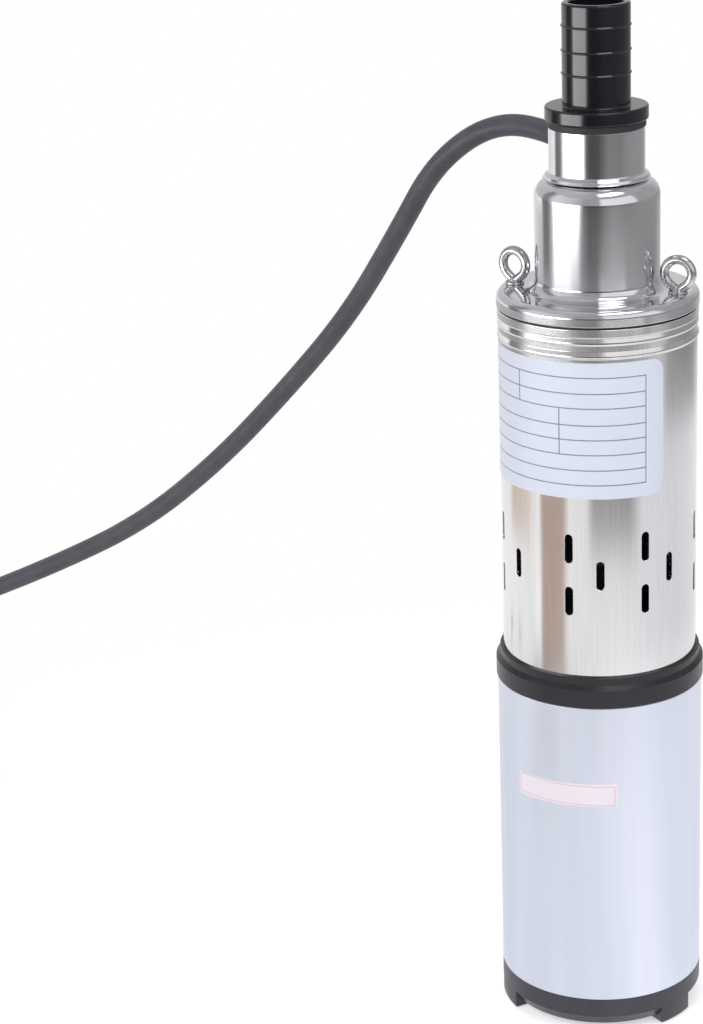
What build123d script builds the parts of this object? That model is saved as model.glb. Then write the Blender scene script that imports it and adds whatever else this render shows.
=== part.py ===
from build123d import *
import math
import os

# Screw pump for wells: a brushless motor below, a helical rotor pump above, one inch hose outlet on top.
# Millimetres. The origin is on the floor under the middle of the pump, +Z runs up the shaft,
# -Y is the front and +X is the right.

# Bottom cover and motor tube
foot_height = 3.5
foot_depth = 9.0
foot_round = 1.4
foot_width_angle = 24.0
foot_first_angle = -41.0
foot_count = 3
cover_band = 11.5
cover_taper = 2.5
cover_chamfer = 4.0
cover_wall = 4.0
cover_floor = 4.5
cover_spigot = 19.0
motor_tube_wall = 1.5
motor_tube_length = 123.4

# Black ring between motor and pump
ring_radius = 40.0
ring_step = 0.5
ring_band = 7.4
ring_shoulder = 1.6
ring_lip_height = 3.0
ring_lip_wall = 1.3
ring_spigot_below = 26.4
ring_spigot_above = 5.6
ring_spigot_wall = 2.4
ring_web = 32.0
ring_recess_depth = 14.0

# Strainer sleeve
sleeve_step = 2.95
sleeve_wall = 1.0
sleeve_length = 139.0
sleeve_seat_depth = 4.4
sleeve_lip = 0.4
sleeve_lip_height = 2.2
bead_radius = 0.9
bead_drops = (4.1, 7.6)
slot_width = 3.1
slot_length = 11.3
slot_pair_angles = (-77.0, -17.6, 27.8, 76.6, 125.0, 171.0, 221.0)
slot_single_angles = (-54.4, 0.9, 45.1, 92.0, 139.0, 186.0, 238.0)
slot_row_low = 34.4
slot_row_high = 55.1
slot_row_middle = 44.8

# Outlet head, neck and hose tail
head_gasket_thickness = 1.5
head_gasket_inset = 1.0
flange_overhang = 0.7
flange_land = 14.5
flange_thickness = 5.5
flange_edge_radius = 2.2
dome_wall = 1.2
dome_height = 42.0
dome_flat = 0.35
dome_foot_fillet = 2.5
neck_step = 5.6
neck_wall = 1.25
neck_height = 18.3
neck_weld = 1.7
barb_gasket_overhang = 0.45
barb_gasket_thickness = 2.7
collar_overhang = 1.35
collar_height = 5.2
spigot_length = 15.0
barb_radius = 12.5
barb_bore = 10.0
barb_tooth = 0.3
barb_bands = (11.6, 8.3, 8.9, 8.4)

# Lifting eyes on their pillars
eye_inset = 6.5
eye_left_angle = 168.0
eye_right_angle = -21.0
eye_left_turn = -35.0
eye_right_turn = -18.0
eye_wire = 1.6
eye_loop = 5.4
eye_loop_height = 8.5
eye_point_drop = 7.3
eye_collar_radius = 3.6
eye_collar_height = 1.0
eye_thread_radius = 2.5
eye_thread_length = 24.0
pillar_radius = 4.0
pillar_thread = 11.0

# Stator and screw of the pump
stator_room = 1.05
stator_wall = 1.5
stator_length = 100.0
stator_headroom = 8.0
stator_collar = 3.5
stator_collar_height = 2.5
clamp_plate_thickness = 6.0
screw_radius = 7.0
screw_offset = 2.5
screw_pitch = 30.0
screw_length = 105.0
screw_rise = 2.0
screw_hub_radius = 7.4
screw_hub_length = 12.0
cavity_clearance = 0.3

# Flexible shaft and coupling
rod_radius = 3.5
rod_socket_depth = 9.0
coupling_radius = 9.0
coupling_length = 24.0
coupling_grip = 10.0
coupling_screw_radius = 2.0
slinger_radius = 15.0
slinger_thickness = 3.0
slinger_gap = 1.0

# Shaft, bearings and seal
shaft_radius = 6.0
shaft_shoulder = 7.5
bearing_outer_radius = 16.0
bearing_width = 10.0
bearing_race = 3.0
bearing_sleeve_wall = 3.5
ball_radius = 2.9
ball_count = 8
seal_pocket_radius = 13.0
seal_pocket_depth = 16.0
seal_seat_height = 6.0
seal_face_height = 3.0
seal_face_radius = 11.0
bellows_radius = 10.0
bellows_height = 6.0

# Motor
stack_clearance = 0.2
stack_headroom = 12.0
air_gap = 0.8
yoke_width = 5.0
tooth_width = 7.0
tooth_tip = 1.6
slot_opening = 2.5
tooth_count = 9
coil_side = 2.8
coil_overhang = 6.0
rotor_radius = 19.4
magnet_thickness = 2.8
magnet_count = 8
magnet_angle = 40.0
bracket_disc = 14.0
bracket_wall = 2.4
bracket_rim = 12.0
bracket_floor = 4.0
board_thickness = 1.6
board_rise = 10.0
board_edge_gap = 3.9
board_parts_circle = 19.0
board_tower_angles = (20, 45, 70)
board_tower_radius = 3.0
board_tower_height = 6.5
board_chip_angles = (110, 135, 160, 200, 225, 250)
board_chip_size = (9.0, 5.0, 3.0)
board_leg_circle = 17.0
board_leg_angles = (45, 135, 225, 315)
board_leg_radius = 2.5

# Fasteners and seals
cover_screw_radius = 2.0
cover_screw_head = 3.6
cover_screw_head_height = 2.4
cover_screw_sink = 0.4
cover_screw_key = 1.6
cover_boss_wall = 1.2
cover_screw_circle = 25.0
cover_screw_count = 4
cover_screw_bite = 9.0
oring_section = 1.1
groove_setback = 6.0
slide_gap = 0.1
thread_gap = 0.05
running_gap = 0.3
edge_break = 0.5

# Cable and gland
cable_diameter = 8.4
gland_inset = 6.6
gland_angle = 67.5
gland_wall = 0.8
gland_seal_wall = 1.0
gland_collar = 1.5
nut_flats = 13.0
nut_height = 4.0
inner_cable_drop = 8.0
coil_centre = (-350.0, 180.0)
coil_mean_radius = 46.0
coil_columns = 3
coil_layers = 2
coil_end_angle = 180.0
coil_tie_angle = 60.0
coil_tie_width = 12.0
coil_tie_thickness = 1.2
cable_end_length = 46.0
core_radius = 1.7
core_length = 32.0
core_spread = 12.0
tip_radius = 1.0
tip_length = 9.0

# Heights that follow from the stack
cable_radius = cable_diameter / 2
motor_tube_radius = ring_radius - ring_step
motor_bore = motor_tube_radius - motor_tube_wall
sleeve_radius = ring_radius - sleeve_step
sleeve_bore = sleeve_radius - sleeve_wall
flange_radius = sleeve_radius + flange_overhang
dome_radius = flange_radius - flange_land
neck_radius = dome_radius - neck_step
dome_shoulder = dome_radius - neck_radius + neck_wall - dome_flat
collar_radius = neck_radius + collar_overhang
barb_gasket_radius = neck_radius + barb_gasket_overhang
stator_radius = dome_radius - dome_wall - stator_room
eye_circle = motor_bore - eye_inset
gland_circle = motor_bore - gland_inset
stator_core_radius = motor_bore - stack_clearance
stator_bore = rotor_radius + air_gap
board_radius = motor_bore - slide_gap - cover_wall - board_edge_gap
cover_boss_radius = cover_screw_head + cover_boss_wall
tube_bottom = foot_height + cover_band
tube_top = tube_bottom + motor_tube_length
ring_shoulder_top = tube_top + ring_band + ring_shoulder
ring_top = ring_shoulder_top + ring_lip_height
ring_crown = ring_top + ring_spigot_above
sleeve_bottom = ring_top - sleeve_seat_depth
sleeve_top = sleeve_bottom + sleeve_length
flange_bottom = sleeve_top + head_gasket_thickness
flange_top = flange_bottom + flange_thickness
dome_top = flange_top + dome_height
neck_top = dome_top + neck_height
collar_bottom = neck_top + barb_gasket_thickness
collar_top = collar_bottom + collar_height
barb_top = collar_top + sum(barb_bands)
web_bottom = ring_crown - ring_web
stator_top = dome_top - stator_headroom
stator_bottom = stator_top - stator_length
screw_top = stator_top + screw_rise
screw_bottom = screw_top - screw_length
hub_bottom = screw_bottom - screw_hub_length
cover_spigot_top = tube_bottom + cover_spigot
bracket_top = cover_spigot_top + bracket_disc
stack_bottom = bracket_top + bracket_rim
stack_top = web_bottom - stack_headroom
stator_core_length = stack_top - stack_bottom
spigot_foot = stack_top
lower_bearing_bottom = cover_spigot_top + bracket_floor
upper_bearing_bottom = web_bottom
slinger_bottom = ring_crown + slinger_gap
coupling_bottom = slinger_bottom + slinger_thickness
coupling_top = coupling_bottom + coupling_length
shaft_top = coupling_bottom + coupling_grip
cover_groove = tube_bottom + groove_setback
housing_groove = tube_top - groove_setback


def ring(inner, outer, low, high):
    """A plain ring or disc about the shaft's axis."""
    body = Pos(0, 0, low) * extrude(Circle(outer), high - low)
    if inner > 0:
        body -= Pos(0, 0, low - 1) * extrude(Circle(inner), high - low + 2)
    return body


def turned(points):
    """A solid of revolution about Z from its half section as (radius, height) points."""
    outline = Polyline([(r, 0, z) for r, z in points], close=True)
    return revolve(make_face(outline), Axis.Z)


def polar(radius, angle, height=0.0):
    a = math.radians(angle)
    return (radius * math.cos(a), radius * math.sin(a), height)


def post(radius, place, low, high):
    return Pos(place[0], place[1], low) * extrude(Circle(radius), high - low)


def group(solids):
    return Compound(children=[s for item in solids for s in item.solids()])


def eye_places():
    return (polar(eye_circle, eye_left_angle), polar(eye_circle, eye_right_angle))


def gland_place():
    return polar(gland_circle, gland_angle)


# Bottom of the motor

def cover_screw_places():
    step = 360.0 / cover_screw_count
    return [polar(cover_screw_circle, i * step) for i in range(cover_screw_count)]


def cover_foot():
    """One foot along +X: a piece of the cover's rim carried down to the floor, with a rounded edge."""
    rim = ring(motor_tube_radius - foot_depth, motor_tube_radius, 0, foot_height + cover_chamfer)
    reach = 2 * motor_tube_radius
    half = math.radians(foot_width_angle / 2)
    tip = (reach * math.cos(half), reach * math.sin(half))
    wedge = make_face(Polyline([(0, 0), tip, (tip[0], -tip[1])], close=True))
    foot = rim & extrude(wedge, foot_height + cover_chamfer)
    return fillet(foot.edges().group_by(Axis.Z)[0], foot_round)


def bottom_cover():
    spigot = motor_bore - slide_gap
    low_radius = motor_tube_radius - cover_taper
    shell = turned([
        (0, foot_height), (low_radius, foot_height), (motor_tube_radius, foot_height + cover_chamfer),
        (motor_tube_radius, tube_bottom), (spigot, tube_bottom), (spigot, cover_spigot_top),
        (spigot - cover_wall, cover_spigot_top), (spigot - cover_wall, foot_height + cover_floor),
        (0, foot_height + cover_floor)])
    for i in range(foot_count):
        shell += Rot(0, 0, foot_first_angle + 360.0 / foot_count * i) * cover_foot()
    for place in cover_screw_places():
        shell += post(cover_boss_radius, place, foot_height, cover_spigot_top)
    for place in cover_screw_places():
        shell -= post(cover_screw_radius + slide_gap, place, 0, cover_spigot_top + 1)
        shell -= post(cover_screw_head + slide_gap, place, 0, foot_height + cover_screw_head_height)
    return shell - oring_groove(cover_groove)


def oring(height):
    """A ring that bears on the inside of the motor tube."""
    return Pos(0, 0, height) * Torus(motor_bore - oring_section, oring_section)


def oring_groove(height):
    floor = motor_bore - 2 * oring_section - thread_gap
    half = oring_section + slide_gap
    return ring(floor, motor_bore + 1, height - half, height + half)


def cover_screws():
    screws = []
    for place in cover_screw_places():
        head_low = foot_height + cover_screw_sink
        head_high = foot_height + cover_screw_head_height
        screw = post(cover_screw_head, place, head_low, head_high)
        screw += post(cover_screw_radius, place, head_low, cover_spigot_top + cover_screw_bite)
        screws.append(screw - Pos(place[0], place[1], head_low) * extrude(
            RegularPolygon(cover_screw_key, 6), cover_screw_head_height / 2))
    return group(screws)


def controller_board():
    floor = foot_height + cover_floor
    low = floor + board_rise
    top = low + board_thickness
    board = ring(0, board_radius, low, top)
    for place in cover_screw_places():
        board -= post(cover_boss_radius + running_gap, place, low - 1, top + 1)
    for angle in board_tower_angles:
        board += post(board_tower_radius, polar(board_parts_circle, angle), top, top + board_tower_height)
    for angle in board_chip_angles:
        chip = Pos(board_parts_circle, 0, top + board_chip_size[2] / 2) * Box(*board_chip_size)
        board += Rot(0, 0, angle) * chip
    for angle in board_leg_angles:
        board += post(board_leg_radius, polar(board_leg_circle, angle), floor, low)
    return board


# Motor

def lower_bracket():
    rim = motor_bore - slide_gap
    cup = turned([
        (shaft_shoulder + 1, cover_spigot_top), (rim, cover_spigot_top), (rim, stack_bottom),
        (rim - bracket_wall, stack_bottom), (rim - bracket_wall, bracket_top),
        (bearing_outer_radius + slide_gap, bracket_top),
        (bearing_outer_radius + slide_gap, lower_bearing_bottom),
        (shaft_shoulder + 1, lower_bearing_bottom)])
    for i in range(cover_screw_count):
        cup -= post(4.5, polar(cover_screw_circle + 1, 45 + 360.0 / cover_screw_count * i),
                    cover_spigot_top - 1, bracket_top + 1)
    for place in cover_screw_places():
        cup -= post(cover_screw_radius + thread_gap, place, cover_spigot_top - 1,
                    cover_spigot_top + cover_screw_bite + 1)
    return cup


def bearing(low):
    """Outer ring, inner ring and balls of one deep groove ball bearing."""
    middle = low + bearing_width / 2
    track = (shaft_radius + bearing_outer_radius) / 2
    groove = Pos(0, 0, middle) * Torus(track, ball_radius + 0.08)
    outer = ring(bearing_outer_radius - bearing_race, bearing_outer_radius, low, low + bearing_width)
    inner = ring(shaft_radius + 0.02, shaft_radius + bearing_race, low, low + bearing_width)
    balls = [Pos(*polar(track, 360.0 / ball_count * i, middle)) * Sphere(ball_radius)
             for i in range(ball_count)]
    return outer - groove, inner - groove, group(balls)


def stator_core():
    yoke = Circle(stator_core_radius) - Circle(stator_core_radius - yoke_width)
    slot_floor = stator_core_radius - yoke_width
    section = yoke
    for i in range(tooth_count):
        middle = (stator_bore + slot_floor + 1) / 2
        section += Rot(0, 0, 360.0 / tooth_count * i) * Pos(middle, 0) * Rectangle(
            slot_floor + 1 - stator_bore, tooth_width)
    shoe = Circle(stator_bore + tooth_tip) - Circle(stator_bore)
    for i in range(tooth_count):
        angle = 360.0 / tooth_count * (i + 0.5)
        shoe -= Rot(0, 0, angle) * Pos(stator_bore, 0) * Rectangle(4 * tooth_tip, slot_opening)
    section += shoe
    section -= Circle(stator_bore)
    return Pos(0, 0, stack_bottom) * extrude(section, stator_core_length)


def stator_windings():
    low = stator_bore + tooth_tip + 0.6
    high = stator_core_radius - yoke_width - 1.2
    height = stator_core_length + 2 * coil_overhang
    hole = stator_core_length + 0.4
    coils = []
    for i in range(tooth_count):
        coil = Box(high - low, tooth_width + 2 * coil_side, height)
        coil = fillet(coil.edges().filter_by(Axis.X), coil_side * 0.8)
        coil -= Box(high - low + 2, tooth_width + 0.2, hole)
        middle = (stack_bottom + stack_top) / 2
        coils.append(Rot(0, 0, 360.0 / tooth_count * i) * Pos((low + high) / 2, 0, middle) * coil)
    return group(coils)


def rotor_core():
    return ring(shaft_shoulder, rotor_radius - magnet_thickness, stack_bottom, stack_top)


def rotor_magnets():
    inner = rotor_radius - magnet_thickness
    band = ring(inner, rotor_radius, stack_bottom + 1, stack_top - 1)
    half = math.radians(magnet_angle / 2)
    reach = 2 * rotor_radius
    tip = (reach * math.cos(half), reach * math.sin(half))
    wedge = make_face(Polyline([(0, 0), tip, (tip[0], -tip[1])], close=True))
    wedge = Pos(0, 0, stack_bottom) * extrude(wedge, stator_core_length)
    return group([band & (Rot(0, 0, 360.0 / magnet_count * i) * wedge) for i in range(magnet_count)])


def motor_shaft():
    low = lower_bearing_bottom - 1
    shaft = turned([
        (0, low), (shaft_radius, low), (shaft_radius, lower_bearing_bottom + bearing_width),
        (shaft_shoulder, lower_bearing_bottom + bearing_width), (shaft_shoulder, upper_bearing_bottom),
        (shaft_radius, upper_bearing_bottom), (shaft_radius, shaft_top - 0.8),
        (shaft_radius - 0.8, shaft_top), (0, shaft_top)])
    return shaft


# Seal housing and shaft seal

def seal_housing():
    below = motor_bore - slide_gap
    above = sleeve_bore - slide_gap
    groove_out = sleeve_radius + slide_gap
    lip = groove_out + ring_lip_wall
    bearing_seat = bearing_outer_radius + slide_gap
    bearing_top = upper_bearing_bottom + bearing_width
    seal_floor = ring_crown - seal_pocket_depth
    bearing_sleeve = bearing_seat + bearing_sleeve_wall
    recess_top = web_bottom + ring_recess_depth
    body = turned([
        (shaft_radius + 2, bearing_top), (bearing_seat, bearing_top), (bearing_seat, web_bottom),
        (bearing_sleeve, web_bottom), (bearing_sleeve, recess_top), (below - ring_spigot_wall, recess_top),
        (below - ring_spigot_wall, spigot_foot), (below, spigot_foot), (below, tube_top),
        (ring_radius - edge_break, tube_top), (ring_radius, tube_top + edge_break),
        (ring_radius, tube_top + ring_band), (lip, ring_shoulder_top), (lip, ring_top - edge_break / 2),
        (lip - edge_break / 2, ring_top), (groove_out, ring_top), (groove_out, sleeve_bottom),
        (above, sleeve_bottom), (above, ring_crown - edge_break), (above - edge_break, ring_crown),
        (seal_pocket_radius, ring_crown), (seal_pocket_radius, seal_floor), (shaft_radius + 2, seal_floor)])
    for place in eye_places():
        body -= post(eye_thread_radius + thread_gap, place, ring_crown - pillar_thread - 1,
                     ring_crown + 1)
    x, y, z = gland_place()
    body -= post(cable_radius + slide_gap, (x, y), spigot_foot, ring_crown + 1)
    return body - oring_groove(housing_groove)


def seal_seat():
    floor = ring_crown - seal_pocket_depth
    return ring(shaft_radius + 1, seal_pocket_radius - slide_gap / 2, floor, floor + seal_seat_height)


def seal_face():
    low = ring_crown - seal_pocket_depth + seal_seat_height + thread_gap
    return ring(shaft_radius + thread_gap, seal_face_radius, low, low + seal_face_height)


def seal_bellows():
    low = ring_crown - seal_pocket_depth + seal_seat_height + seal_face_height + thread_gap
    step = bellows_height / 4
    inner = shaft_radius + thread_gap
    points = [(inner, low), (bellows_radius, low)]
    for i in range(1, 4):
        points.append((bellows_radius - (1.6 if i % 2 else 0.0), low + step * i))
    points += [(bellows_radius, low + bellows_height), (inner, low + bellows_height)]
    return turned(points)


def sand_slinger():
    top = slinger_bottom + slinger_thickness
    return turned([
        (shaft_radius + thread_gap, slinger_bottom), (slinger_radius - 4, slinger_bottom),
        (slinger_radius, slinger_bottom + 0.2), (slinger_radius, slinger_bottom + 1.4),
        (shaft_radius + 3, top), (shaft_radius + thread_gap, top)])


# Drive from motor to screw

def rod_slant():
    """The rod's low and high end: on the shaft's axis below, on the screw's axis above."""
    low = Vector(0, 0, coupling_top - rod_socket_depth)
    high = Vector(screw_offset, 0, hub_bottom + rod_socket_depth)
    return low, high


def socket_radius():
    low, high = rod_slant()
    lean = screw_offset / (high.Z - low.Z)
    return rod_radius + rod_socket_depth * lean + running_gap


def shaft_coupling():
    body = turned([
        (0, coupling_bottom), (coupling_radius, coupling_bottom), (coupling_radius, coupling_top - 1.5),
        (coupling_radius - 1.5, coupling_top), (0, coupling_top)])
    body -= post(shaft_radius + thread_gap, (0, 0), coupling_bottom - 1, shaft_top + running_gap)
    body -= post(socket_radius(), (0, 0), coupling_top - rod_socket_depth - running_gap, coupling_top + 1)
    height = coupling_bottom + coupling_grip / 2
    for angle in (0, 90):
        body -= Rot(0, 0, angle) * Pos(0, 0, height) * Rot(0, 90, 0) * extrude(
            Circle(coupling_screw_radius + thread_gap), coupling_radius + 1)
    return body


def coupling_screws():
    height = coupling_bottom + coupling_grip / 2
    low = shaft_radius + thread_gap
    length = coupling_radius - 0.6 - low
    screws = []
    for angle in (0, 90):
        screw = extrude(Circle(coupling_screw_radius), length)
        screw -= Pos(0, 0, length - 1.2) * extrude(RegularPolygon(1.1, 6), 2)
        screws.append(Rot(0, 0, angle) * Pos(0, 0, height) * Rot(0, 90, 0) * Pos(0, 0, low) * screw)
    return group(screws)


def connecting_rod():
    low, high = rod_slant()
    axis = high - low
    plane = Plane(origin=low, z_dir=axis)
    return plane * extrude(Circle(rod_radius), axis.length)


def pump_screw():
    """Single-start rotor: a round section whose middle circles the screw's own axis once a pitch."""
    turn = 360.0 * screw_length / screw_pitch
    start = 360.0 * (screw_bottom - stator_bottom) / screw_pitch
    section = Pos(*polar(screw_offset, start)) * Circle(screw_radius)
    twisted = Solid.extrude_linear_with_rotation(section.face(), (0, 0, 0), (0, 0, screw_length), turn)
    body = Pos(0, 0, screw_bottom) * twisted
    hub = post(screw_hub_radius, (0, 0), hub_bottom, screw_bottom)
    hub -= post(socket_radius(), (0, 0), hub_bottom - 1, hub_bottom + rod_socket_depth + running_gap)
    return Pos(screw_offset, 0, 0) * (body + hub)


def stator_lining():
    """Bonded rubber: its two-start cavity is a long-round slot that turns half round per pitch."""
    bore = screw_radius + cavity_clearance
    extra = 1.0
    length = stator_length + 2 * extra
    section = Rectangle(4 * screw_offset, 2 * bore)
    for side in (-1, 1):
        section += Pos(2 * screw_offset * side, 0) * Circle(bore)
    turn = 180.0 * length / screw_pitch
    section = Rot(0, 0, -180.0 * extra / screw_pitch) * section
    cavity = Solid.extrude_linear_with_rotation(section.face(), (0, 0, 0), (0, 0, length), turn)
    cavity = Pos(0, 0, stator_bottom - extra) * cavity
    return ring(0, stator_radius - stator_wall, stator_bottom, stator_top) - cavity


def stator_tube():
    tube = ring(stator_radius - stator_wall, stator_radius, stator_bottom, stator_top)
    return tube + ring(stator_radius - stator_wall, stator_radius + stator_collar,
                       sleeve_top - stator_collar_height, sleeve_top)


# Sleeve, pillars and head

def pump_sleeve():
    lip = sleeve_radius + sleeve_lip
    points = [(sleeve_bore, sleeve_bottom), (sleeve_radius, sleeve_bottom),
              (sleeve_radius, sleeve_top - sleeve_lip_height - 0.4), (lip, sleeve_top - sleeve_lip_height),
              (lip, sleeve_top), (sleeve_bore, sleeve_top)]
    sleeve = turned(points)
    for drop in bead_drops:
        sleeve += Pos(0, 0, sleeve_top - drop) * Torus(sleeve_radius + sleeve_lip - bead_radius, bead_radius)
    sleeve -= ring(0, sleeve_bore, sleeve_bottom - 1, sleeve_top + 1)
    slot = extrude(SlotOverall(slot_length, slot_width, rotation=90), 4 * sleeve_wall)
    slot = Rot(90, 0, 0) * Pos(0, 0, sleeve_bore - sleeve_wall) * slot
    rows = [(a, slot_row_low) for a in slot_pair_angles] + [(a, slot_row_high) for a in slot_pair_angles]
    rows += [(a, slot_row_middle) for a in slot_single_angles]
    cuts = [Rot(0, 0, angle) * Pos(0, 0, sleeve_bottom + rise) * slot for angle, rise in rows]
    return sleeve - cuts


def clamp_plate():
    plate = ring(stator_radius + slide_gap, sleeve_bore - slide_gap, sleeve_top - clamp_plate_thickness,
                 sleeve_top)
    plate -= ring(0, stator_radius + stator_collar + slide_gap, sleeve_top - stator_collar_height,
                  sleeve_top + 1)
    for place in eye_places():
        plate -= post(eye_thread_radius + slide_gap, place, stator_bottom, flange_top)
    x, y, z = gland_place()
    return plate - post(cable_radius + slide_gap, (x, y), stator_bottom, flange_top)


def tie_rods():
    low = ring_crown
    high = sleeve_top - clamp_plate_thickness
    rods = []
    for place in eye_places():
        rod = post(pillar_radius, place, low, high)
        rod += post(eye_thread_radius, place, low - pillar_thread, low)
        hole_depth = eye_thread_length + flange_top - high - flange_thickness
        rod -= post(eye_thread_radius + thread_gap, place, high - hole_depth, high + 1)
        rods.append(rod)
    return group(rods)


def head_gasket():
    gasket = ring(stator_radius + 1.2, flange_radius - head_gasket_inset, sleeve_top, flange_bottom)
    for place in eye_places():
        gasket -= post(eye_thread_radius + slide_gap, place, sleeve_top - 1, flange_bottom + 1)
    x, y, z = gland_place()
    return gasket - post(cable_radius + slide_gap, (x, y), sleeve_top - 1, flange_bottom + 1)


def outlet_head():
    bore = dome_radius - dome_wall
    neck_bore = neck_radius - neck_wall
    inner_top = dome_top - dome_wall
    inner_shoulder = dome_shoulder - dome_wall
    weld = neck_radius + neck_weld
    outline = [
        Line((bore, flange_bottom), (flange_radius, flange_bottom)),
        Line((flange_radius, flange_bottom), (flange_radius, flange_top - flange_edge_radius)),
        RadiusArc((flange_radius, flange_top - flange_edge_radius),
                  (flange_radius - flange_edge_radius, flange_top), -flange_edge_radius),
        Line((flange_radius - flange_edge_radius, flange_top),
             (dome_radius + dome_foot_fillet, flange_top)),
        RadiusArc((dome_radius + dome_foot_fillet, flange_top),
                  (dome_radius, flange_top + dome_foot_fillet), dome_foot_fillet),
        Line((dome_radius, flange_top + dome_foot_fillet), (dome_radius, dome_top - dome_shoulder)),
        RadiusArc((dome_radius, dome_top - dome_shoulder), (dome_radius - dome_shoulder, dome_top),
                  -dome_shoulder),
    ]
    outline += [
        Line((dome_radius - dome_shoulder, dome_top), (neck_bore, dome_top)),
        Line((neck_bore, dome_top), (neck_bore, inner_top)),
        Line((neck_bore, inner_top), (bore - inner_shoulder, inner_top)),
        RadiusArc((bore - inner_shoulder, inner_top), (bore, inner_top - inner_shoulder), inner_shoulder),
        Line((bore, inner_top - inner_shoulder), (bore, flange_bottom)),
    ]
    half = Plane.XZ * make_face(Curve() + outline)
    head = revolve(half, Axis.Z)
    head += turned([(neck_radius + slide_gap / 4, dome_top - dome_shoulder / 2), (weld, dome_top - 1.6),
                    (weld, dome_top), (neck_radius + 0.5, dome_top + neck_weld),
                    (neck_radius + slide_gap / 4, dome_top + neck_weld)]) - ring(
                        0, bore - 0.5, flange_top, inner_top)
    for place in eye_places():
        head -= post(eye_thread_radius + slide_gap, place, flange_bottom - 1, flange_top + 1)
    x, y, z = gland_place()
    return head - post(gland_outer() + thread_gap, (x, y), flange_bottom - 1, flange_top + 4)


def outlet_neck():
    return ring(neck_radius - neck_wall, neck_radius, dome_top, neck_top)


def barb_gasket():
    return ring(neck_radius - neck_wall - slide_gap, barb_gasket_radius, neck_top, collar_bottom)


def hose_barb():
    spigot = neck_radius - neck_wall - 2 * slide_gap
    points = [(barb_bore, collar_bottom - spigot_length), (spigot - 1, collar_bottom - spigot_length),
              (spigot, collar_bottom - spigot_length + 1), (spigot, collar_bottom),
              (collar_radius - 0.6, collar_bottom), (collar_radius, collar_bottom + 0.6),
              (collar_radius, collar_top - 0.8), (collar_radius - 0.8, collar_top),
              (barb_radius + 0.6, collar_top), (barb_radius, collar_top + 0.6)]
    height = collar_top + barb_bands[0]
    points.append((barb_radius, height))
    for band in barb_bands[1:]:
        points.append((barb_radius + barb_tooth, height))
        height += band
        points.append((barb_radius - barb_tooth / 3, height))
    points[-1] = (barb_radius, height - 0.9)
    points += [(barb_radius - 0.9, height), (barb_bore + 0.8, height), (barb_bore, height - 0.8)]
    return turned(points)


def lifting_eye(place, turn):
    """A wire loop that closes to a point over its collar, with a threaded shank below."""
    centre = flange_top + eye_loop_height
    reach = math.degrees(math.acos(eye_loop / eye_point_drop))
    span = 360 - 2 * reach
    section = Pos(eye_loop, 0) * Circle(eye_wire)
    loop = revolve(Plane.XZ * section, Axis.Z, revolution_arc=span)
    loop = Rot(90, 0, 0) * Rot(0, 0, -90 + reach) * loop
    foot = (0, 0, -eye_point_drop)
    for side in (-1, 1):
        angle = math.radians(-90 + side * reach)
        meet = Vector(eye_loop * math.cos(angle), 0, eye_loop * math.sin(angle))
        leg = meet - Vector(*foot)
        loop += Plane(origin=foot, z_dir=leg) * extrude(Circle(eye_wire), leg.length)
    loop += Pos(*foot) * Sphere(eye_wire)
    eye = Pos(place[0], place[1], centre) * Rot(0, 0, turn) * loop
    eye += post(eye_thread_radius, place, flange_top - eye_thread_length,
                centre - eye_point_drop)
    collar = post(eye_collar_radius, place, flange_top, flange_top + eye_collar_height)
    return eye + collar


# Cable, gland and the put-away coil

def gland_outer():
    return cable_radius + gland_seal_wall + gland_wall


def gland_body():
    x, y, z = gland_place()
    top = flange_top + gland_collar
    body = post(gland_outer(), (x, y), flange_bottom, top)
    body -= post(cable_radius + gland_seal_wall, (x, y), flange_bottom + 1, top + 1)
    return body - post(cable_radius + slide_gap, (x, y), flange_bottom - 1, flange_bottom + 2)


def gland_seal():
    x, y, z = gland_place()
    seal = post(cable_radius + gland_seal_wall - thread_gap, (x, y), flange_bottom + 1,
                flange_top + gland_collar)
    return seal - post(cable_radius, (x, y), flange_bottom, flange_top + gland_collar + 1)


def gland_nut():
    x, y, z = gland_place()
    low = flange_top + gland_collar
    corner = nut_flats / math.sqrt(3)
    nut = Pos(x, y, low) * Rot(0, 0, gland_angle + 30) * extrude(RegularPolygon(corner, 6), nut_height)
    standing = (Align.CENTER, Align.CENTER, Align.MIN)
    dome = Pos(x, y, low) * Cone(corner + 1.2, corner - 1.3, nut_height, align=standing)
    return (nut & dome) - post(cable_radius + thread_gap, (x, y), low - 1, low + nut_height + 1)


def inner_cable():
    x, y, z = gland_place()
    return post(cable_radius, (x, y), web_bottom + ring_recess_depth - inner_cable_drop,
                flange_top + gland_collar + nut_height)


def cable_route():
    """Points of the free cable: up out of the gland, over to the left, down to the coil on the floor."""
    x, y, z = gland_place()
    top = flange_top + gland_collar + nut_height
    return [
        (x, y, top), (x, y, top + 16), (3, 30, 331), (-14, 34, 343), (-38, 42, 347), (-62, 54, 329),
        (-79, 71, 297), (-102, 94, 257), (-133, 116, 218), (-166, 139, 180), (-206, 163, 143),
        (-254, 189, 113), (-306, 215, 85), (-343, 234, 66), (-379, 226, 51), (-402, 197, 38),
        (-400, 160, 28), (-376, 132, 20), (-339, 127, 14)]


def corner_radii(points):
    radii = []
    for a, b, c in zip(points, points[1:], points[2:]):
        before = Vector(*b) - Vector(*a)
        after = Vector(*c) - Vector(*b)
        half_turn = math.radians(before.get_angle(after) / 2)
        radii.append(0.45 * min(before.length, after.length) / math.tan(half_turn))
    return radii


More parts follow.
